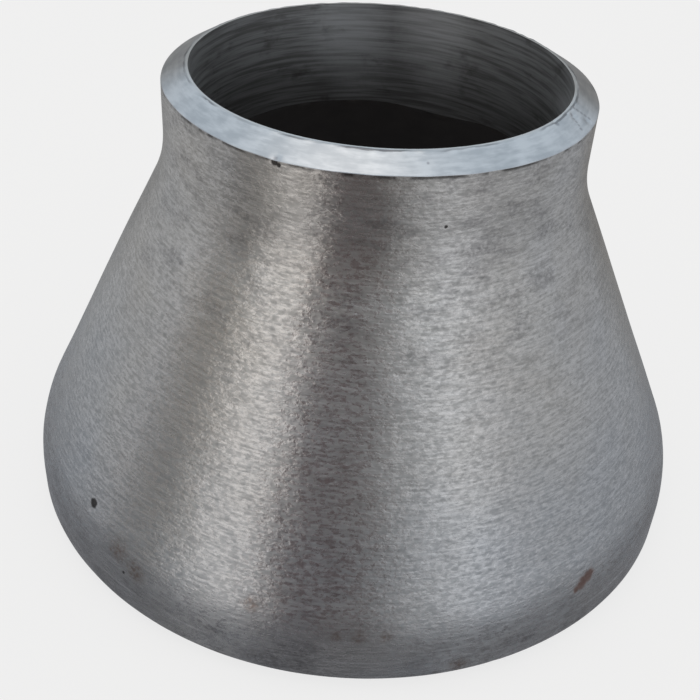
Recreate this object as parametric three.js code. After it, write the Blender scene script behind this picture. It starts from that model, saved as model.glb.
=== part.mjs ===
// Concentric butt-welding reducer, DN 250 x DN 150, in millimetres.
// The fitting is one piece of seamless pipe pressed to a cone, so it is one mesh.
// Frame: origin at the centre of the large end, +Z along the axis towards the small end.

import * as THREE from 'three';

// Ends: the outside diameters are those of the pipes that are welded on.
const largeEndDiameter = 273.0;
const smallEndDiameter = 159.0;
const endToEnd = 178.0;
const endWall = 10.0;

// Weld preparation, the same at both ends.
const rootFace = 1.6;
const bevelAngle = THREE.MathUtils.degToRad(30);

// Outer wall: a straight length at each end, joined by two bends and a straight cone.
const largeEndStraight = 14.0;
const smallEndStraight = 24.0;
const largeBendRadius = 48.0;
const smallBendRadius = 52.0;

// The small end is bored out to the pipe's inside diameter as far as this from its face.
const boreDepth = 43.0;

// Faceting.
const turnSegments = 72;
const bendSegments = 8;

const steelColour = 0x8d8c8b;
const steelRoughness = 0.45;
const steelMetalness = 1.0;

const largeRadius = largeEndDiameter / 2;
const smallRadius = smallEndDiameter / 2;
const boreRadius = smallRadius - endWall;
const mouthRadius = largeRadius - endWall;
const bevelWidth = endWall - rootFace;
const bevelLength = bevelWidth * Math.tan(bevelAngle);

// The bend centres lie level with the ends of the straight lengths.
const largeBendCentre = new THREE.Vector2(largeRadius - largeBendRadius, largeEndStraight);
const smallBendCentre = new THREE.Vector2(
  smallRadius + smallBendRadius,
  endToEnd - smallEndStraight,
);

// Angle between the axis and the line that touches both outer bends between them.
function outerConeAngle() {
  const span = smallBendCentre.clone().sub(largeBendCentre);
  const crossing = Math.asin((largeBendRadius + smallBendRadius) / span.length());
  return crossing - Math.atan2(span.x, span.y);
}

// Angle between the axis and the line from the end of the bore that touches the inner bend.
function innerConeAngle(boreEnd, bendRadius) {
  const reach = boreEnd.clone().sub(largeBendCentre);
  return reach.angle() - Math.acos(bendRadius / reach.length());
}

// Points of an arc about a centre, from one angle to another. An angle is counted from
// the radial direction towards +Z, and a negative radius is the far side of the centre.
function arcPoints(centre, radius, startAngle, endAngle) {
  const points = [];
  for (let step = 0; step <= bendSegments; step += 1) {
    const angle = THREE.MathUtils.lerp(startAngle, endAngle, step / bendSegments);
    points.push(new THREE.Vector2(
      centre.x + radius * Math.cos(angle),
      centre.y + radius * Math.sin(angle),
    ));
  }
  return points;
}

// Outer wall from the root face of the large end up to that of the small end.
function outerProfile() {
  const coneAngle = outerConeAngle();
  return [
    new THREE.Vector2(largeRadius - bevelWidth, 0),
    new THREE.Vector2(largeRadius, bevelLength),
    ...arcPoints(largeBendCentre, largeBendRadius, 0, coneAngle),
    ...arcPoints(smallBendCentre, -smallBendRadius, coneAngle, 0),
    new THREE.Vector2(smallRadius, endToEnd - bevelLength),
    new THREE.Vector2(smallRadius - bevelWidth, endToEnd),
  ];
}

// Inner wall from the small end's face down the bore, the cone and the mouth.
function innerProfile() {
  const boreEnd = new THREE.Vector2(boreRadius, endToEnd - boreDepth);
  const innerBendRadius = largeBendRadius - endWall;
  const coneAngle = innerConeAngle(boreEnd, innerBendRadius);
  return [
    new THREE.Vector2(boreRadius, endToEnd),
    boreEnd,
    ...arcPoints(largeBendCentre, innerBendRadius, coneAngle, 0),
    new THREE.Vector2(mouthRadius, 0),
  ];
}

// The wall's outline turned once round the axis. A lathe turns about Y, so it is stood up.
function reducerBodyGeometry() {
  const outline = [...outerProfile(), ...innerProfile()];
  outline.push(outline[0].clone());
  const geometry = new THREE.LatheGeometry(outline, turnSegments);
  geometry.rotateX(Math.PI / 2);
  return geometry;
}

const steel = new THREE.MeshStandardMaterial({
  color: steelColour,
  roughness: steelRoughness,
  metalness: steelMetalness,
});

const reducerBody = new THREE.Mesh(reducerBodyGeometry(), steel);
reducerBody.name = 'reducer_body';

const reducer = new THREE.Group();
reducer.add(reducerBody);

export default reducer;
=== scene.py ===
import math
import bmesh
import bpy
import numpy as np
from mathutils import Matrix, Vector


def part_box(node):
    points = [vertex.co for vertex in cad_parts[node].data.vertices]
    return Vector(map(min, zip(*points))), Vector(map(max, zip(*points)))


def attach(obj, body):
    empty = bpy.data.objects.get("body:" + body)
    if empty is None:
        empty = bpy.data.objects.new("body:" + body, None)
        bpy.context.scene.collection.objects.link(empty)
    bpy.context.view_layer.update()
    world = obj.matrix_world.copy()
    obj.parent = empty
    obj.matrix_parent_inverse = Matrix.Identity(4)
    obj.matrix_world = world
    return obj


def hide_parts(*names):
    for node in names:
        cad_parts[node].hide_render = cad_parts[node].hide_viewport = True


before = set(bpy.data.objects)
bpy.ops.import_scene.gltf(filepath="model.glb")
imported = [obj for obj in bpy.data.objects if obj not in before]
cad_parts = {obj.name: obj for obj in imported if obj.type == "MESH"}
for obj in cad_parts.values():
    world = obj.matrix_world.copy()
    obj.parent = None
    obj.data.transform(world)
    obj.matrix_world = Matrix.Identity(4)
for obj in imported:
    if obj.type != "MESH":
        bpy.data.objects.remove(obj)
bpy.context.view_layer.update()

# Concentric butt-welding reducer, bare carbon steel, standing on its large end.
# Shapes are worked out in millimetres and turned to metres when the mesh is made.

mm = 0.001


def note(stage):
    print("reducer:", stage)


def hexColour(code):
    # "#rrggbb" in screen values, turned to the linear numbers Blender works in
    linear = []
    for start in (1, 3, 5):
        value = int(code[start:start + 2], 16) / 255
        linear.append(value / 12.92 if value <= 0.04045 else ((value + 0.055) / 1.055) ** 2.4)
    return (*linear, 1.0)


def addNode(tree, kind, inputs=None, **settings):
    # One node with its settings. An input takes a value, an output, or a node, by its live output.
    node = tree.nodes.new("ShaderNode" + kind)
    for name, value in settings.items():
        setattr(node, name, value)
    for name, value in (inputs or {}).items():
        if isinstance(value, bpy.types.Node):
            value = next(output for output in value.outputs if output.enabled)
        if isinstance(value, bpy.types.NodeSocket):
            tree.links.new(value, node.inputs[name])
        else:
            node.inputs[name].default_value = value
    return node


# Settings that many nodes share. A colour mix takes its amount in 0 and its two colours in 6 and 7.
smoothStep = {"interpolation_type": "SMOOTHSTEP"}
colourMix = {"data_type": "RGBA"}

# Camera first: nothing below depends on it, but the lights are placed to suit it.
cameraView = {
    "aim": (-4.3, 0.0, 49.8),     # mm, close to the reducer's axis
    "distance": 458.9,            # mm from aim
    "elevation": 35.77,           # degrees above the floor
    "roll": 4.0,                  # degrees, leans the reducer to the right
    "lens": 54.27,                # mm on a sensor this wide
    "sensor": 36.0,
}


def makeCamera():
    camera = bpy.data.cameras.new("studioCamera")
    camera.lens = cameraView["lens"]
    camera.sensor_width = cameraView["sensor"]
    holder = bpy.data.objects.new("studioCamera", camera)
    bpy.context.scene.collection.objects.link(holder)
    tilt = math.radians(cameraView["elevation"])
    lean = math.radians(cameraView["roll"])
    ahead = Vector((0.0, math.cos(tilt), -math.sin(tilt)))
    side = Vector((1.0, 0.0, 0.0))
    above = side.cross(ahead)
    right = side * math.cos(lean) + above * math.sin(lean)
    up = above * math.cos(lean) - side * math.sin(lean)
    turn = Matrix((right, up, -ahead)).transposed().to_4x4()
    place = Vector(cameraView["aim"]) * mm - ahead * cameraView["distance"] * mm
    holder.matrix_world = Matrix.Translation(place) @ turn
    bpy.context.scene.camera = holder


makeCamera()
note("camera stands")

# The reducer's own form, mm. The large end's radius and the length come from the frame.
reducerForm = {
    "smallDiameter": 159.0,
    "wall": 10.0,
    "rootFace": 1.6,
    "bevel": 30.0,            # degrees from the plane of the end
    "largeStraight": 14.0,
    "smallStraight": 24.0,
    "largeBend": 48.0,        # radius of the outside
    "smallBend": 52.0,
    "boreDepth": 43.0,
    "arris": 0.3,             # radius left on a turned edge
    "boreStep": 0.5,          # radius where the bore ends
    "segments": 432,          # round the axis
}

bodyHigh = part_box("reducer_body")[1]
largeRadius = bodyHigh[0] / mm
length = bodyHigh[2] / mm
smallRadius = reducerForm["smallDiameter"] / 2
boreRadius = smallRadius - reducerForm["wall"]
bevelWide = reducerForm["wall"] - reducerForm["rootFace"]
bevelSlope = math.tan(math.radians(reducerForm["bevel"]))
bevelDeep = bevelWide * bevelSlope

# Numbers of the corners below that need care of their own
largeArris, smallArris, boreStep = 2, 5, 8


def coneHalfTangent(step, along, bends):
    # tangent of half the cone's angle, for a cone and its bends that gain step in radius over along
    a, b, c = 2 * bends - step, -2 * along, step
    return (-b - math.sqrt(b * b - 4 * a * c)) / (2 * a)


def outlineCorners():
    # Sharp corners of the wall's section: (radius, height, rounding, surface that follows, row spacing)
    form = reducerForm
    edge = form["arris"]
    boreEnd = length - form["boreDepth"]
    step = largeRadius - smallRadius
    outer = coneHalfTangent(step, length - form["largeStraight"] - form["smallStraight"],
                            form["largeBend"] + form["smallBend"])
    innerBend = form["largeBend"] - form["wall"]
    inner = coneHalfTangent(step, boreEnd - form["largeStraight"], innerBend)
    largeBendTop = form["largeStraight"] + form["largeBend"] * outer
    smallBendFoot = length - form["smallStraight"] - form["smallBend"] * outer
    innerBendTop = form["largeStraight"] + innerBend * inner
    mouth = largeRadius - form["wall"]
    return [
        (mouth, 0.0, edge, "land", 0.5),
        (largeRadius - bevelWide, 0.0, edge, "bevel", 1.3),
        (largeRadius, bevelDeep, edge, "body", 2.4),
        (largeRadius, largeBendTop, form["largeBend"], "body", 2.6),
        (smallRadius, smallBendFoot, form["smallBend"], "body", 2.2),
        (smallRadius, length - bevelDeep, edge, "bevel", 1.2),
        (smallRadius - bevelWide, length, edge, "land", 0.5),
        (boreRadius, length, edge, "bore", 0.68),
        (boreRadius, boreEnd, form["boreStep"], "inside", 4.2),
        (mouth, innerBendTop, innerBend, "inside", 4.2),
    ]


def roundedCorner(before, corner, after, radius):
    # The arc that rounds a corner, as points from the first straight to the second
    back = (before - corner).normalized()
    on = (after - corner).normalized()
    half = back.angle(on) / 2
    centre = corner + (back + on).normalized() * radius / math.sin(half)
    start = corner + back * radius / math.tan(half) - centre
    sweep = math.pi - 2 * half
    steps = 2 if radius < 1 else max(3, round(radius * sweep / 2.4))     # 2.4 mm apart on the bends
    turn = sweep if start.cross(on) > 0 else -sweep
    points = []
    for step in range(steps + 1):
        angle = turn * step / steps
        points.append(centre + Vector((start.x * math.cos(angle) - start.y * math.sin(angle),
                                       start.x * math.sin(angle) + start.y * math.cos(angle))))
    return points


def wallRows():
    # Rows of the wall's section: (radius, height, surface that follows, number of its corner or -1)
    corners = outlineCorners()
    count = len(corners)
    points = [Vector(corner[:2]) for corner in corners]
    arcs = [roundedCorner(points[i - 1], points[i], points[(i + 1) % count], corners[i][2])
            for i in range(count)]
    rows = []
    for i in range(count):
        surface, spacing = corners[i][3:]
        rows += [(point.x, point.y, surface, i) for point in arcs[i]]
        start, end = arcs[i][-1], arcs[(i + 1) % count][0]
        reach = (end - start).length
        steps = max(1, round(reach / spacing))
        stops = [step / steps for step in range(1, steps)]
        hold = 0.2 / reach     # a row 0.2 mm from each sharp edge keeps the flats flat
        if reach > 1.2:
            stops = [hold] + stops + [1 - hold]
        for stop in stops:
            point = start.lerp(end, stop)
            rows.append((point.x, point.y, surface, -1))
    return rows


section = wallRows()
outside = sorted((row[1], row[0]) for row in section if row[2] == "body" or row[3] == smallArris)

# Unevenness, in mm: what forming, linishing and turning leave behind
reducerUnevenness = {
    "formed": 0.22,       # slow waves of the formed wall, which make the bevel's edge wander
    "linished": 0.035,    # shallow flats left by the belt
    "chatter": 0.22,      # of the line between bevel and root face
    "chatterReach": 1.4,
    "boreRing": 0.016,    # height of the boring tool's rings
    "boreFeed": 2.1,      # distance between those rings
    "boreLead": 2.0,      # from the mouth, where the rings fade in
    "boreEdge": 0.8,      # how far the end of the bore wanders
    "boreEdgeReach": 9.0,
    "scaled": 0.35,       # lumps of the unmachined inside
    "scaledLead": 6.0,    # from the large end, where the lumps fade in
    "seed": 250,
}


def waves(angle, height, seed, lobes, lengths, count=26):
    # A smooth random surface between about -1 and 1 that closes on itself round the axis
    rng = np.random.default_rng(seed)
    total = np.zeros(np.broadcast(angle, height).shape)
    for _ in range(count):
        around = rng.integers(lobes[0], lobes[1] + 1) * rng.choice((-1, 1))
        along = 2 * math.pi / rng.uniform(*lengths)
        total += np.cos(around * angle + along * height + rng.uniform(0, 2 * math.pi))
    return total / math.sqrt(count)


# Handling damage that has depth: (degrees from the front towards +X, height, reach, depth), mm
reducerDents = [
    (-46.8, 36.0, 2.0, 0.3),
    (-40.2, 26.2, 1.5, 0.2),
    (-23.5, 173.4, 1.3, 0.5),
    (55.6, 178.0, 1.3, 0.5),
    (64.4, 176.6, 1.8, 0.4),
    (68.0, 174.4, 1.5, 0.4),
    (12.1, 175.7, 0.9, 0.12),
    (40.9, 26.3, 3.0, 0.15),
    (112.0, 177.2, 1.7, 0.4),
    (-131.0, 173.6, 1.6, 0.4),
    (171.0, 58.0, 2.4, 0.25),
    (-98.0, 101.0, 2.0, 0.2),
    (84.0, 131.0, 1.8, 0.18),
    (24.0, 4.6, 2.0, 0.12),
    (-152.0, 4.9, 2.4, 0.5),
]
dentLean = (6.0, -0.8)     # within this of the small end a dent also sinks down by this share


def spotOutside(degrees, level):
    # the point of the undamaged outside at this height, in mm
    toward = math.radians(degrees)
    overArris = level - length + bevelDeep
    if overArris > 0.35:
        out = smallRadius - overArris / bevelSlope
    else:
        out = np.interp(level, [row[0] for row in outside], [row[1] for row in outside])
    return out * math.sin(toward), -out * math.cos(toward), level


def unevenWall(surface, corner, radius, height, angle):
    # Moves the rows of a true wall, all in mm, to where forming and tools left them
    rough = reducerUnevenness
    seed = rough["seed"]
    depth = length - height

    # outside: the wall is not quite round, and the bevel's edge follows it
    lift = rough["formed"] * waves(angle, height, seed, (1, 7), (90, 260))
    lift += rough["linished"] * waves(angle, height, seed + 1, (9, 34), (24, 70))
    level, out = height.copy(), radius.copy()
    body = (surface == "body") & (corner != largeArris)
    radius[body] += lift[body]

    # turned ends: the arris slides along the bevel with the wall, the bevel's other edge chatters
    ends = ((0.0, 1, largeArris, seed + 3), (length, -1, smallArris, seed + 8))
    for end, way, arris, chatterSeed in ends:
        onArris = corner == arris
        onEnd = (np.abs(level[:, 0] - end) < length / 2) & np.isin(surface, ("bevel", "land")) | onArris
        arrisOut = out[onArris][1, 0]
        landOut = arrisOut - bevelWide
        outward = np.clip((out - landOut) / bevelWide, 0, 1)
        nearLand = np.clip(1 - np.abs(out - landOut) / rough["chatterReach"], 0, 1)
        chatter = rough["chatter"] * waves(angle, height * 0, chatterSeed, (20, 90), (50, 60), 40)
        wallLift = lift[onArris][1]
        radius[onEnd] += (wallLift * outward + chatter * nearLand)[onEnd]
        height[onEnd] += (way * bevelSlope * wallLift * outward)[onEnd]

    # bore: the tool's rings, and an end that wanders where it breaks into the cone
    bore = (surface == "bore") & (corner == -1)
    ring = np.cos(2 * math.pi * (depth / rough["boreFeed"] + angle / (2 * math.pi)))
    fade = np.clip(depth / rough["boreLead"], 0, 1)
    fade = fade * (0.6 + 0.4 * waves(angle * 0, level, seed + 5, (1, 2), (9, 22)))
    radius[bore] += (rough["boreRing"] * ring * fade)[bore]
    wander = rough["boreEdge"] * waves(angle, height * 0, seed + 6, (2, 11), (50, 60))
    near = np.clip(1 - np.abs(depth - reducerForm["boreDepth"]) / rough["boreEdgeReach"], 0, 1)
    inner = bore | (surface == "inside")
    height[inner] += (wander * near)[inner]

    # inside: lumpy scale on the wall that no tool has touched
    inside = (surface == "inside") & (corner != boreStep)
    lumps = rough["scaled"] * waves(angle, height, seed + 7, (3, 22), (30, 90))
    radius[inside] += (lumps * np.clip(height / rough["scaledLead"], 0, 1))[inside]


def dentedPoints(points, surface):
    # points of the outside near each dent sink into the wall
    outer = (surface != "inside") & (surface != "bore")
    flat = np.stack([points[..., 0], points[..., 1], points[..., 2] * 0], axis=-1)
    inward = -flat / np.linalg.norm(flat, axis=-1, keepdims=True)
    inward[..., 2] = np.where(points[..., 2] > length - dentLean[0], dentLean[1], 0.0)
    for degrees, level, reach, sink in reducerDents:
        away = np.linalg.norm(points - np.array(spotOutside(degrees, level)), axis=-1)
        push = sink * np.exp(-(away / reach) ** 2 * 2.0)
        points[outer] += (inward * push[..., None])[outer]


def makeReducerBody():
    segments = reducerForm["segments"]
    turn = np.arange(segments) * 2 * math.pi / segments
    radius, height, surface, corner = (np.array(column) for column in zip(*section))
    radius = radius[:, None] + np.zeros(segments)
    height = height[:, None] + np.zeros(segments)
    angle = turn[None, :] + np.zeros_like(radius)
    unevenWall(surface, corner, radius, height, angle)
    points = np.stack([radius * np.sin(angle), -radius * np.cos(angle), height], axis=-1)
    dentedPoints(points, surface)

    mesh = bpy.data.meshes.new("reducerBody")
    build = bmesh.new()
    verts = [build.verts.new(point * mm) for point in points.reshape(-1, 3)]
    rowCount = len(section)
    slots = {"body": 0, "bevel": 1, "land": 1, "bore": 2, "inside": 3}
    for i in range(rowCount):
        here, above = i * segments, (i + 1) % rowCount * segments
        for j in range(segments):
            k = (j + 1) % segments
            ring = (here + j, here + k, above + k, above + j)
            face = build.faces.new([verts[number] for number in ring])
            face.material_index = slots[section[i][2]]
            face.smooth = True
    if build.calc_volume(signed=True) < 0:
        bmesh.ops.reverse_faces(build, faces=build.faces)
    build.to_mesh(mesh)
    build.free()
    piece = bpy.data.objects.new("reducerBody", mesh)
    bpy.context.scene.collection.objects.link(piece)
    note("body has %d rows, %d faces" % (rowCount, len(mesh.polygons)))
    return piece


def startMaterial(name):
    material = bpy.data.materials.new(name)
    material.use_nodes = True
    tree = material.node_tree
    tree.nodes.clear()
    return material, tree


def drawPatterns(tree, place, patterns):
    # The noises of one finish: each is so many mm long level, so many high up the wall
    drawn = {}
    for name, pattern in patterns.items():
        long = pattern["long"] * mm
        high = pattern.get("high", pattern["long"]) * mm
        shift = pattern.get("shift", 0.0)
        spread = addNode(tree, "Mapping", {
            "Vector": place, "Location": (shift, shift, shift), "Scale": (1 / long, 1 / long, 1 / high)})
        drawn[name] = addNode(tree, "TexNoise", {
            "Vector": spread, "Scale": 1.0, "Detail": pattern["detail"],
            "Roughness": pattern.get("rough", 0.5), "Distortion": pattern.get("distortion", 0.0)})
    return drawn


def spotField(tree, place, spots, ragged):
    # 0 at the middle of the nearest spot, 1 at its edge, with an outline as uneven as ragged
    nearest = 1000.0     # further than any spot
    for degrees, level, reach in spots:
        away = addNode(tree, "VectorMath", {0: place, 1: Vector(spotOutside(degrees, level)) * mm},
                       operation="DISTANCE")
        share = addNode(tree, "Math", {0: away, 1: reach * mm}, operation="DIVIDE")
        nearest = addNode(tree, "Math", {0: nearest, 1: share}, operation="MINIMUM")
    noise = drawPatterns(tree, place, {"edge": {"long": 1.6, "detail": 2.0}})["edge"]
    wobble = addNode(tree, "Math", {0: noise, 1: 2 * ragged, 2: -ragged}, operation="MULTIPLY_ADD")
    return addNode(tree, "Math", {0: nearest, 1: wobble}, operation="ADD")


# Linished carbon steel: a belt run round the cone leaves short level scratches, so light
# spreads up and down the wall and the reflections stand as tall bands with ragged, sparkling edges.
linishedSteel = {
    "light": "#c3c1c0",
    "dark": "#898785",
    "cool": "#9da3ab",
    "warm": "#b0aba4",
    "grainDeep": 0.19,      # mm of relief, coarse like the grain
    "mottleDeep": 0.12,
    "burnish": 0.22,        # how much smoother the grain's tops are than its hollows
    "roughness": 0.29,
    "anisotropy": 0.97,
    "warmFrom": (20.0, 130.0),     # mm up the wall, over which the tone turns from cool to warm
    "neckDirt": (96.0, 124.0),     # mm up the wall, where the upper belt of dirt starts
    "footDirt": (14.0, 32.0),      # and where the lower one, heavier, ends
    "dirtAndDeepShade": 0.45,
    "footHighlightAt": 13.4,     # mm, where the turned foot stops and a highlight is painted along it
    "lip": (1.55, 0.45),    # mm under the weld bevel's edge, a dark line
    # painted highlight along the line where the turned foot stops
    "footHighlight": "#cfcfd2",
    "soil": "#5b585a",      # handling dirt
    "stain": "#6d5546",
    "rust": "#6a4a3e",
    "pit": "#1d1917",
}

# Its patterns in mm. One scratch of the real belt is too fine to show, so the grain is drawn coarser.
# Tone and gloss have a grain of their own, so that they don't fall on the relief.
linishedPatterns = {
    "grain": {"long": 2.4, "high": 1.1, "detail": 3.0, "rough": 0.62, "distortion": 0.2},
    "glint": {"long": 2.4, "high": 1.1, "detail": 3.0, "rough": 0.62, "distortion": 0.2, "shift": 31.0},
    "scratch": {"long": 9.0, "high": 0.7, "detail": 2.0},
    "mottle": {"long": 7.0, "high": 3.0, "detail": 2.0},      # where the belt dwelt
    "patch": {"long": 42.0, "detail": 3.0},
    "cloud": {"long": 16.0, "high": 7.0, "detail": 4.0, "rough": 0.6},
    # breaks in the painted highlight at the foot
    "highlightBreaks": {"long": 30.0, "detail": 1.0},
    "notched": {"long": 6.0, "detail": 2.0},
    "speckle": {"long": 1.3, "detail": 3.0},
}

# Marks on the linished wall, each (degrees from the front towards +X, height, reach), mm.
# A mark is full inside the first share of its reach and gone at the second.
linishedMarks = {
    "stain": {"ragged": 0.4, "fade": (0.1, 1.1), "strength": 0.62, "spots": [
        (-14.0, 31.9, 4.2),
        (-40.2, 26.2, 1.6),
        (-34.5, 24.5, 6.0),
        (-38.5, 27.8, 6.0),
        (-1.0, 25.4, 3.0),
        (2.4, 25.8, 3.6),
        (6.3, 25.8, 3.4),
        (18.0, 8.0, 5.0),
        (152.0, 118.0, 4.0),
        (118.0, 40.0, 4.6),
    ]},
    "rust": {"ragged": 0.35, "fade": (0.4, 1.2), "strength": 0.8, "spots": [
        (38.9, 24.6, 1.9),
        (39.8, 25.4, 2.7),
        (40.6, 26.2, 3.3),
        (41.4, 27.0, 3.1),
        (42.2, 27.8, 2.4),
        (96.0, 22.0, 2.0),
        (-139.0, 64.0, 2.2),
    ]},
    "pit": {"ragged": 0.25, "fade": (0.6, 1.0), "strength": 0.9, "spots": [
        (-46.8, 36.0, 2.4),
        (-36.9, 20.6, 0.8),
        (17.2, 155.2, 0.8),
        (-23.5, 172.3, 1.5),
        (-22.4, 171.6, 1.0),
        (171.0, 58.0, 1.6),
        (-98.0, 101.0, 1.3),
    ]},
}


def linishedTone(tree, drawn, level):
    # Fine light and dark scratches over a slow change from cool to warm
    look = linishedSteel
    both = addNode(tree, "Math", {0: drawn["glint"], 1: drawn["scratch"]}, operation="ADD")
    fine = addNode(tree, "MapRange", {0: both, 1: 0.68, 2: 1.32}, **smoothStep)
    tone = addNode(tree, "Mix", {0: fine, 6: hexColour(look["dark"]), 7: hexColour(look["light"])},
                   **colourMix)
    low, high = look["warmFrom"]
    rise = addNode(tree, "MapRange", {0: level, 1: low, 2: high, 3: -0.35, 4: 0.3}, **smoothStep)
    warmth = addNode(tree, "Math", {0: drawn["patch"], 1: rise}, operation="ADD")
    tint = addNode(tree, "Mix", {0: warmth, 6: hexColour(look["cool"]), 7: hexColour(look["warm"])},
                   **colourMix)
    return addNode(tree, "Mix", {0: 0.5, 6: tone, 7: tint}, **colourMix)


def linishedDirtAndHighlight(tree, drawn, speckle, level, colour):
    # Dirt in two belts, a painted highlight along the line where the turned foot stops, the dark line
    # under the weld bevel
    look = linishedSteel
    cloud = addNode(tree, "MapRange", {0: drawn["cloud"], 1: 0.46, 2: 0.66}, **smoothStep)
    low, high = look["neckDirt"]
    neck = addNode(tree, "MapRange", {0: level, 1: low, 2: high}, **smoothStep)
    low, high = look["footDirt"]
    foot = addNode(tree, "MapRange", {0: level, 1: low, 2: high, 3: 1.1, 4: 0.0}, **smoothStep)
    belts = addNode(tree, "Math", {0: neck, 1: foot}, operation="ADD")
    dirtAndDeepShade = addNode(tree, "Math", {0: cloud, 1: speckle}, operation="MULTIPLY")
    dirtAndDeepShade = addNode(tree, "Math", {0: dirtAndDeepShade, 1: belts}, operation="MULTIPLY")
    dirtAndDeepShade = addNode(tree, "Math", {0: dirtAndDeepShade, 1: look["dirtAndDeepShade"]}, operation="MULTIPLY")
    colour = addNode(tree, "Mix", {0: dirtAndDeepShade, 6: colour, 7: hexColour(look["soil"])}, **colourMix)

    # painted highlight where the turned foot stops, broken in places
    off = addNode(tree, "Math", {0: level, 1: look["footHighlightAt"]}, operation="SUBTRACT")
    off = addNode(tree, "Math", {0: off}, operation="ABSOLUTE")
    line = addNode(tree, "MapRange", {0: off, 1: 0.2, 2: 0.7, 3: 0.5, 4: 0.0}, **smoothStep)
    highlightBreaks = addNode(tree, "MapRange", {0: drawn["highlightBreaks"], 1: 0.45, 2: 0.6}, **smoothStep)
    line = addNode(tree, "Math", {0: line, 1: highlightBreaks}, operation="MULTIPLY")
    colour = addNode(tree, "Mix", {0: line, 6: colour, 7: hexColour(look["footHighlight"])}, **colourMix)

    low, high = (length - bevelDeep - under for under in look["lip"])
    lip = addNode(tree, "MapRange", {0: level, 1: low, 2: high}, **smoothStep)
    notched = addNode(tree, "MapRange", {0: drawn["notched"], 1: 0.42, 2: 0.6, 3: 0.1, 4: 0.75},
                      **smoothStep)
    lip = addNode(tree, "Math", {0: lip, 1: notched}, operation="MULTIPLY")
    return addNode(tree, "Mix", {0: lip, 6: colour, 7: hexColour(look["pit"])}, **colourMix)


def makeLinishedSteel():
    look = linishedSteel
    material, tree = startMaterial("linishedCarbonSteel")
    place = addNode(tree, "TexCoord").outputs["Object"]
    drawn = drawPatterns(tree, place, linishedPatterns)
    up = addNode(tree, "SeparateXYZ", {0: place}).outputs["Z"]
    level = addNode(tree, "Math", {0: up, 1: mm}, operation="DIVIDE")
    speckle = addNode(tree, "MapRange", {0: drawn["speckle"], 1: 0.34, 2: 0.66, 3: 0.25, 4: 1.0},
                      **smoothStep)
    colour = linishedDirtAndHighlight(tree, drawn, speckle, level, linishedTone(tree, drawn, level))

    covers = {}
    for name, mark in linishedMarks.items():
        field = spotField(tree, place, mark["spots"], mark["ragged"])
        core, edge = mark["fade"]
        covers[name] = addNode(tree, "MapRange", {
            0: field, 1: core, 2: edge, 3: mark["strength"], 4: 0.0}, **smoothStep)
    covers["stain"] = addNode(tree, "Math", {0: covers["stain"], 1: speckle}, operation="MULTIPLY")
    for name, cover in covers.items():
        colour = addNode(tree, "Mix", {0: cover, 6: colour, 7: hexColour(look[name])}, **colourMix)

    # the tops of the grain are burnished, rust is dull
    smooth, dullAndShade = look["roughness"] - look["burnish"], look["roughness"] + look["burnish"]
    gloss = addNode(tree, "MapRange", {0: drawn["glint"], 1: 0.25, 2: 0.75, 3: dullAndShade, 4: smooth})
    gloss = addNode(tree, "Math", {0: covers["rust"], 1: 0.4, 2: gloss}, operation="MULTIPLY_ADD")
    dwell = addNode(tree, "Bump", {"Distance": look["mottleDeep"] * mm, "Height": drawn["mottle"]})
    relief = addNode(tree, "Bump", {
        "Distance": look["grainDeep"] * mm, "Height": drawn["grain"], "Normal": dwell})
    around = addNode(tree, "Tangent", direction_type="RADIAL", axis="Z")
    steel = addNode(tree, "BsdfPrincipled", {
        "Base Color": colour, "Metallic": 1.0, "Roughness": gloss, "Normal": relief,
        "Anisotropic": look["anisotropy"], "Anisotropic Rotation": 0.25, "Tangent": around})
    addNode(tree, "OutputMaterial", {"Surface": steel})
    return material


# Turned carbon steel: the weld bevels are fresh metal off the tool, the brightest surface here,
# with a dark burr where the tool left the root face.
turnedSteel = {
    "light": "#bec1c5",
    "dark": "#a4a8ad",
    "land": "#b9bcbe",
    "dullAndShade": "#d8d2cc",      # painted shade, multiplied in on the far side of the bevel
    "farShadeFrom": (-29.0, -5.0),     # mm along Y
    "burr": "#4d4c50",
    "burrWide": (0.22, 0.55),      # mm, full and gone
    "burrWander": 1.6,
    # painted shade in the chips and creases
    "chipShade": "#55525a",
    "grainDeep": 0.04,      # mm of relief, the feed of the tool
    "roughness": 0.4,
}

# The tool's feed is about 0.2 mm, too fine to show, so its marks are drawn coarser.
turnedPatterns = {
    "grain": {"long": 9.0, "high": 0.9, "detail": 4.0, "rough": 0.6},
    "blotch": {"long": 9.0, "detail": 3.0},
    "here": {"long": 20.0, "detail": 2.0},
}

# Chips and creases of the small end's bevel, with painted shade in them: (degrees from the front, height,
# reach), mm
turnedChipShadeSpots = [
    (55.6, 177.6, 1.3),
    (62.2, 174.4, 0.9),
    (62.8, 175.1, 0.8),
    (63.4, 175.8, 0.8),
    (64.0, 176.5, 0.8),
    (64.6, 177.2, 0.9),
    (68.4, 177.7, 1.0),
    (68.8, 176.9, 1.1),
    (69.2, 176.1, 1.0),
    (69.5, 175.3, 1.1),
    (69.8, 174.5, 1.0),
    (-23.5, 173.4, 1.2),
    (12.1, 175.7, 0.7),
    (-131.0, 173.8, 1.2),
]


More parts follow.
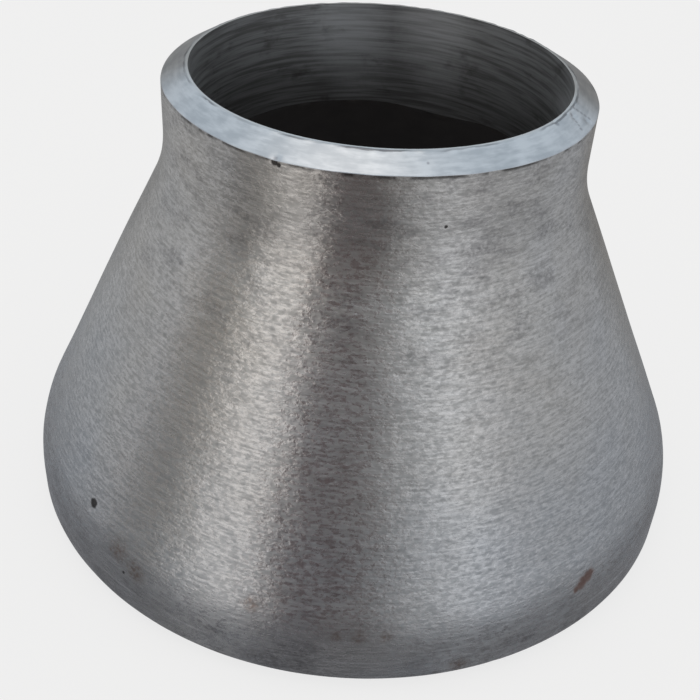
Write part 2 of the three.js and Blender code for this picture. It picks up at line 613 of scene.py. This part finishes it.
def makeTurnedSteel():
    look = turnedSteel
    material, tree = startMaterial("turnedCarbonSteel")
    place = addNode(tree, "TexCoord").outputs["Object"]
    drawn = drawPatterns(tree, place, turnedPatterns)
    both = addNode(tree, "Math", {0: drawn["grain"], 1: drawn["blotch"]}, operation="ADD")
    share = addNode(tree, "MapRange", {0: both, 1: 0.72, 2: 1.28}, **smoothStep)
    colour = addNode(tree, "Mix", {0: share, 6: hexColour(look["dark"]), 7: hexColour(look["light"])},
                     **colourMix)

    # how far outside the root face's edge, mm
    flat = addNode(tree, "VectorMath", {0: place, 1: (1.0, 1.0, 0.0)}, operation="MULTIPLY")
    out = addNode(tree, "VectorMath", {0: flat}, operation="LENGTH")
    out = addNode(tree, "Math", {0: out, 1: mm}, operation="DIVIDE")
    off = addNode(tree, "Math", {0: out, 1: smallRadius - bevelWide}, operation="SUBTRACT")
    land = addNode(tree, "MapRange", {0: off, 1: -0.5, 2: -0.1, 3: 1.0, 4: 0.0}, **smoothStep)
    colour = addNode(tree, "Mix", {0: land, 6: colour, 7: hexColour(look["land"])}, **colourMix)
    wander = addNode(tree, "Math", {0: drawn["grain"], 1: look["burrWander"], 2: -look["burrWander"] / 2},
                     operation="MULTIPLY_ADD")
    line = addNode(tree, "Math", {0: off, 1: wander}, operation="ADD")
    line = addNode(tree, "Math", {0: line}, operation="ABSOLUTE")
    full, gone = look["burrWide"]
    line = addNode(tree, "MapRange", {0: line, 1: full, 2: gone, 3: 1.0, 4: 0.0}, **smoothStep)
    here = addNode(tree, "MapRange", {0: drawn["here"], 1: 0.4, 2: 0.6, 3: 0.05, 4: 0.75}, **smoothStep)
    burr = addNode(tree, "Math", {0: line, 1: here}, operation="MULTIPLY")
    colour = addNode(tree, "Mix", {0: burr, 6: colour, 7: hexColour(look["burr"])}, **colourMix)

    # painted shade in the chips and creases of the bevel
    field = spotField(tree, place, turnedChipShadeSpots, 0.35)
    chipShadeMask = addNode(tree, "MapRange", {0: field, 1: 0.3, 2: 1.1, 3: 0.42, 4: 0.0}, **smoothStep)
    colour = addNode(tree, "Mix", {0: chipShadeMask, 6: colour, 7: hexColour(look["chipShade"])}, **colourMix)
    # painted shade: the far side of the bevel is darker and warmer
    low, high = look["farShadeFrom"]
    back = addNode(tree, "SeparateXYZ", {0: place}).outputs["Y"]
    back = addNode(tree, "MapRange", {0: back, 1: low * mm, 2: high * mm}, **smoothStep)
    colour = addNode(tree, "Mix", {0: back, 6: colour, 7: hexColour(look["dullAndShade"])},
                     blend_type="MULTIPLY", **colourMix)
    relief = addNode(tree, "Bump", {"Distance": look["grainDeep"] * mm, "Height": drawn["grain"]})
    steel = addNode(tree, "BsdfPrincipled", {
        "Base Color": colour, "Metallic": 1.0, "Roughness": look["roughness"], "Normal": relief})
    addNode(tree, "OutputMaterial", {"Surface": steel})
    return material


# Bored carbon steel: turned like the bevels but older and oily, so it is a dark grey with rings.
boredSteel = {
    "light": "#b0b1b2",
    "dark": "#828281",
    "paintedSheen": "#d6d8da",     # painted highlight, where light through the mouth falls on the bore
    "oil": "#3a302c",       # dried oil in patches
    "deepShade": "#b4b2b0",      # painted shade, multiplied in deeper down the bore
    "deepShadeTo": 10.0,         # mm from the mouth
    "roughness": 0.46,
    "metallic": 0.96,       # the oil film scatters some light
}

# Streaks along the boring tool's rings, drawn coarser for the same reason, and patches of oil
boredPatterns = {
    "streak": {"long": 30.0, "high": 1.3, "detail": 4.0, "rough": 0.6},
    "oil": {"long": 15.0, "high": 9.0, "detail": 4.0, "rough": 0.6},
}

# Painted highlights on the bore where light through the mouth falls, each (degrees from the front,
# height, reach), mm, the reach counted from the outside of the wall
boredPaintedSheen = [
    (-168.0, 166.0, 23.0),
    (-171.0, 152.0, 18.0),
    (162.0, 169.0, 22.0),
    (158.0, 152.0, 16.0),
    (20.0, 160.0, 24.0),
    (-62.0, 166.0, 19.0),
    (88.0, 160.0, 21.0),
]


def makeBoredSteel():
    look = boredSteel
    material, tree = startMaterial("boredCarbonSteel")
    place = addNode(tree, "TexCoord").outputs["Object"]
    drawn = drawPatterns(tree, place, boredPatterns)
    streak = addNode(tree, "MapRange", {0: drawn["streak"], 1: 0.34, 2: 0.66}, **smoothStep)
    colour = addNode(tree, "Mix", {0: streak, 6: hexColour(look["dark"]), 7: hexColour(look["light"])},
                     **colourMix)
    # painted highlights, streaked along the tool's rings
    field = spotField(tree, place, boredPaintedSheen, 0.1)
    paintedSheen = addNode(tree, "MapRange", {0: field, 1: 0.45, 2: 1.2, 3: 0.64, 4: 0.0}, **smoothStep)
    ringed = addNode(tree, "MapRange", {0: drawn["streak"], 1: 0.3, 2: 0.7, 3: 0.6, 4: 1.0}, **smoothStep)
    paintedSheen = addNode(tree, "Math", {0: paintedSheen, 1: ringed}, operation="MULTIPLY")
    colour = addNode(tree, "Mix", {0: paintedSheen, 6: colour, 7: hexColour(look["paintedSheen"])}, **colourMix)
    oil = addNode(tree, "MapRange", {0: drawn["oil"], 1: 0.56, 2: 0.76, 3: 0.0, 4: 0.5}, **smoothStep)
    colour = addNode(tree, "Mix", {0: oil, 6: colour, 7: hexColour(look["oil"])}, **colourMix)
    up = addNode(tree, "SeparateXYZ", {0: place}).outputs["Z"]
    # painted shade: the bore darkens towards its foot
    foot, top = (length - reducerForm["boreDepth"]) * mm, (length - look["deepShadeTo"]) * mm
    dirtAndDeepShade = addNode(tree, "MapRange", {0: up, 1: foot, 2: top, 3: 0.9, 4: 0.0}, **smoothStep)
    colour = addNode(tree, "Mix", {0: dirtAndDeepShade, 6: colour, 7: hexColour(look["deepShade"])},
                     blend_type="MULTIPLY", **colourMix)
    steel = addNode(tree, "BsdfPrincipled", {
        "Base Color": colour, "Metallic": look["metallic"], "Roughness": look["roughness"]})
    addNode(tree, "OutputMaterial", {"Surface": steel})
    return material


# Mill scale: the inside of the cone keeps the dark oxide of hot forming, dull and nearly black.
millScale = {
    "light": "#322d2a",
    "dark": "#181414",
    "metallic": 0.4,        # oxide, with some bare metal showing through
    "roughness": 0.72,
}

millPatterns = {
    "blotch": {"long": 9.0, "detail": 5.0},
}


def makeMillScale():
    look = millScale
    material, tree = startMaterial("millScaledSteel")
    place = addNode(tree, "TexCoord").outputs["Object"]
    blotch = drawPatterns(tree, place, millPatterns)["blotch"]
    colour = addNode(tree, "Mix", {0: blotch, 6: hexColour(look["dark"]), 7: hexColour(look["light"])},
                     **colourMix)
    scale = addNode(tree, "BsdfPrincipled", {
        "Base Color": colour, "Metallic": look["metallic"], "Roughness": look["roughness"]})
    addNode(tree, "OutputMaterial", {"Surface": scale})
    return material


reducerBody = makeReducerBody()
for material in (makeLinishedSteel(), makeTurnedSteel(), makeBoredSteel(), makeMillScale()):
    reducerBody.data.materials.append(material)
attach(reducerBody, "root")
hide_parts("reducer_body")
note("body has its finishes")

# Studio: a pale floor and room, a softbox overhead, and a tent that shows only in reflections
studio = {
    "room": "#efefef",
    "floor": "#5e5e5e",
    "floorSize": 12.0,            # m
    "floorGlow": 0.764,           # the board is lit through from below, which softens the shadow
    "glowInShadow": 0.12,          # painted shadow: share of that glow left inside the reducer's mouth
    "glowEdge": (0.1268, 0.1276), # m, under the root face that the reducer stands on
    "softbox": (0.72, 1.5, 2.4),  # side m, height m, watts
    "softboxPlace": (-0.2, 0.0),  # m, X and Y
    "softboxColour": "#fff0e0",
    "tableCard": "#8b8b8e",
    "tableCardRadius": 0.22,      # m
}

# The tent, in metres. The panels stand on a dim lower wall and are open above to a bluish sky.
tent = {
    "radius": 0.9,
    "foot": -2.2,
    "top": 2.0,
    "steps": 96,                  # round the tent
    "sky": (0.84, 0.93, 1.0),     # linear, and so is the next
    "low": (0.42, 0.42, 0.42),
    "lowFrom": (-0.6, 0.0),       # where the lower wall's grey fades out of the panels
    "lowShare": 0.5,
    "panelTop": (0.68, 0.76),     # where the panels fade into the sky
    "behind": (110.0, 130.0),     # degrees from the front, past which the panels are lower
    "behindLower": 0.26,          # by this much
    "panelLean": 6.0,             # degrees per m of height
    "leanFrom": 0.2,              # the height at which the panels stand at their own angles
}

# Tent panels: (degrees from the front towards +X, brightness, tint)
tentPanels = [
    (-180, 0.55, "#ffffff"),
    (-148, 0.36, "#ffffff"),
    (-130, 0.74, "#f8fbff"),
    (-95, 0.84, "#f8fbff"),
    (-82, 0.80, "#fbfcff"),
    (-72, 0.54, "#fffcfa"),
    (-62, 0.44, "#fffbf6"),
    (-53, 0.74, "#fffbf6"),
    (-44, 1.35, "#fffcf9"),
    (-31, 1.35, "#fffcf9"),
    (-26, 1.05, "#fff8f4"),
    (-22, 0.40, "#fff2f0"),
    (-18, 0.20, "#ffeaec"),
    (-2, 0.175, "#ffeaec"),
    (6, 0.26, "#fff6f6"),
    (18, 0.76, "#fafcff"),
    (30, 1.14, "#f8fbff"),
    (40, 1.27, "#f8fbff"),
    (51, 1.00, "#f9fbff"),
    (64, 0.88, "#f8fbff"),
    (90, 0.86, "#f3f8ff"),
    (118, 0.74, "#f5f9ff"),
    (132, 0.44, "#ffffff"),
    (148, 0.30, "#fffaf5"),
    (180, 0.55, "#ffffff"),
]

# and how they fade downwards: (height, share of the brightness)
tentFade = [
    (-2.2, 0.54),
    (-0.8, 0.58),
    (-0.52, 0.66),
    (-0.32, 0.9),
    (-0.1, 0.86),
    (0.02, 0.78),
    (0.14, 0.85),
    (0.28, 1.06),
    (0.4, 1.1),
    (2.0, 1.1),
]


def makeFloor():
    size = studio["floorSize"] / 2
    mesh = bpy.data.meshes.new("studioFloor")
    corners = [(-size, -size, 0), (size, -size, 0), (size, size, 0), (-size, size, 0)]
    mesh.from_pydata(corners, [], [(0, 1, 2, 3)])
    floor = bpy.data.objects.new("studioFloor", mesh)
    bpy.context.scene.collection.objects.link(floor)
    material, tree = startMaterial("paleStudioBoard")
    place = addNode(tree, "TexCoord").outputs["Object"]
    away = addNode(tree, "VectorMath", {0: place}, operation="LENGTH")
    near, far = studio["glowEdge"]
    full = studio["floorGlow"]
    # painted shadow: the glow is dimmed inside the reducer's mouth
    glow = addNode(tree, "MapRange", {0: away, 1: near, 2: far, 3: studio["glowInShadow"] * full, 4: full},
                   **smoothStep)
    board = addNode(tree, "BsdfPrincipled", {
        "Base Color": hexColour(studio["floor"]), "Roughness": 0.9, "Specular IOR Level": 0.0,
        "Emission Color": (1.0, 1.0, 1.0, 1.0), "Emission Strength": glow})
    addNode(tree, "OutputMaterial", {"Surface": board})
    mesh.materials.append(material)
    floor.visible_glossy = False


def finishCard(name, build, material):
    # a card is a glowing surface that shows in reflections alone
    mesh = bpy.data.meshes.new(name)
    build.to_mesh(mesh)
    build.free()
    mesh.materials.append(material)
    card = bpy.data.objects.new(name, mesh)
    card.visible_camera = False
    card.visible_diffuse = False
    card.visible_shadow = False
    card.visible_transmission = False
    bpy.context.scene.collection.objects.link(card)
    return card


def tentRing(build, level):
    ring = []
    for step in range(tent["steps"]):
        turn = 2 * math.pi * step / tent["steps"]
        place = (math.sin(turn) * tent["radius"], -math.cos(turn) * tent["radius"], level)
        ring.append(build.verts.new(place))
    return ring


def makeTent():
    steps = tent["steps"]
    build = bmesh.new()
    below = tentRing(build, tent["foot"])
    above = tentRing(build, tent["top"])
    for j in range(steps):
        k = (j + 1) % steps
        build.faces.new((below[j], below[k], above[k], above[j]))
    build.faces.new(below)
    build.faces.new(above)

    material, tree = startMaterial("panelTent")
    place = addNode(tree, "TexCoord").outputs["Object"]
    parts = addNode(tree, "SeparateXYZ", {0: place}).outputs
    height = parts["Z"]
    front = addNode(tree, "Math", {0: parts["Y"], 1: -1.0}, operation="MULTIPLY")
    turn = addNode(tree, "Math", {0: parts["X"], 1: front}, operation="ARCTAN2")
    degrees = addNode(tree, "Math", {0: turn}, operation="DEGREES")
    upright = -tent["panelLean"] * tent["leanFrom"]
    lean = addNode(tree, "Math", {0: height, 1: tent["panelLean"], 2: upright}, operation="MULTIPLY_ADD")
    leaning = addNode(tree, "Math", {0: degrees, 1: lean}, operation="ADD")

    # two colour ramps over real values: the panels round the tent, and how they fade downwards
    fade = [(level, share, "#ffffff") for level, share in tentFade]
    ramps = []
    for value, stops in ((leaning, tentPanels), (height, fade)):
        low, high = stops[0][0], stops[-1][0]
        share = addNode(tree, "MapRange", {0: value, 1: low, 2: high})
        ramp = addNode(tree, "ValToRGB", {0: share})
        elements = ramp.color_ramp.elements
        while len(elements) < len(stops):
            elements.new(1.0)
        for element, (at, brightness, tint) in zip(elements, stops):
            element.position = (at - low) / (high - low)
            element.color = (*(brightness * channel for channel in hexColour(tint)[:3]), 1.0)
        ramps.append(ramp)
    panels, faded = ramps
    colour = addNode(tree, "Mix", {0: 1.0, 6: panels, 7: faded}, blend_type="MULTIPLY", **colourMix)

    low, high = tent["lowFrom"]
    grey = addNode(tree, "MapRange", {0: height, 1: low, 2: high, 3: tent["lowShare"], 4: 0.0},
                   **smoothStep)
    colour = addNode(tree, "Mix", {0: grey, 6: colour, 7: (*tent["low"], 1.0)}, **colourMix)
    away = addNode(tree, "Math", {0: degrees}, operation="ABSOLUTE")
    low, high = tent["behind"]
    lower = addNode(tree, "MapRange", {0: away, 1: low, 2: high, 3: 0.0, 4: tent["behindLower"]},
                    **smoothStep)
    raised = addNode(tree, "Math", {0: height, 1: lower}, operation="ADD")
    low, high = tent["panelTop"]
    sky = addNode(tree, "MapRange", {0: raised, 1: low, 2: high}, **smoothStep)
    colour = addNode(tree, "Mix", {0: sky, 6: colour, 7: (*tent["sky"], 1.0)}, **colourMix)
    glow = addNode(tree, "Emission", {"Color": colour})
    addNode(tree, "OutputMaterial", {"Surface": glow})
    finishCard("panelTent", build, material)


def makeTableCard():
    # what the steel sees of the table close to it, darker than the floor that the camera sees
    build = bmesh.new()
    bmesh.ops.create_circle(build, cap_ends=True, segments=64, radius=studio["tableCardRadius"])
    material, tree = startMaterial("tableCard")
    glow = addNode(tree, "Emission", {"Color": hexColour(studio["tableCard"])})
    addNode(tree, "OutputMaterial", {"Surface": glow})
    card = finishCard("tableCard", build, material)
    card.location.z = -0.0005     # just under the floor, which the steel doesn't reflect


def makeLights():
    side, height, power = studio["softbox"]
    lamp = bpy.data.lights.new("softbox", "AREA")
    lamp.shape = "SQUARE"
    lamp.size = side
    lamp.energy = power
    lamp.color = hexColour(studio["softboxColour"])[:3]
    holder = bpy.data.objects.new("softbox", lamp)
    holder.location = (*studio["softboxPlace"], height)
    bpy.context.scene.collection.objects.link(holder)
    world = bpy.data.worlds.new("paleRoom")
    world.use_nodes = True
    tree = world.node_tree
    tree.nodes.clear()
    glow = addNode(tree, "Background", {"Color": hexColour(studio["room"]), "Strength": 1.0})
    addNode(tree, "OutputWorld", {"Surface": glow})
    bpy.context.scene.world = world


makeFloor()
makeTent()
makeTableCard()
makeLights()
bpy.context.scene.view_settings.view_transform = "Standard"
note("studio is lit")
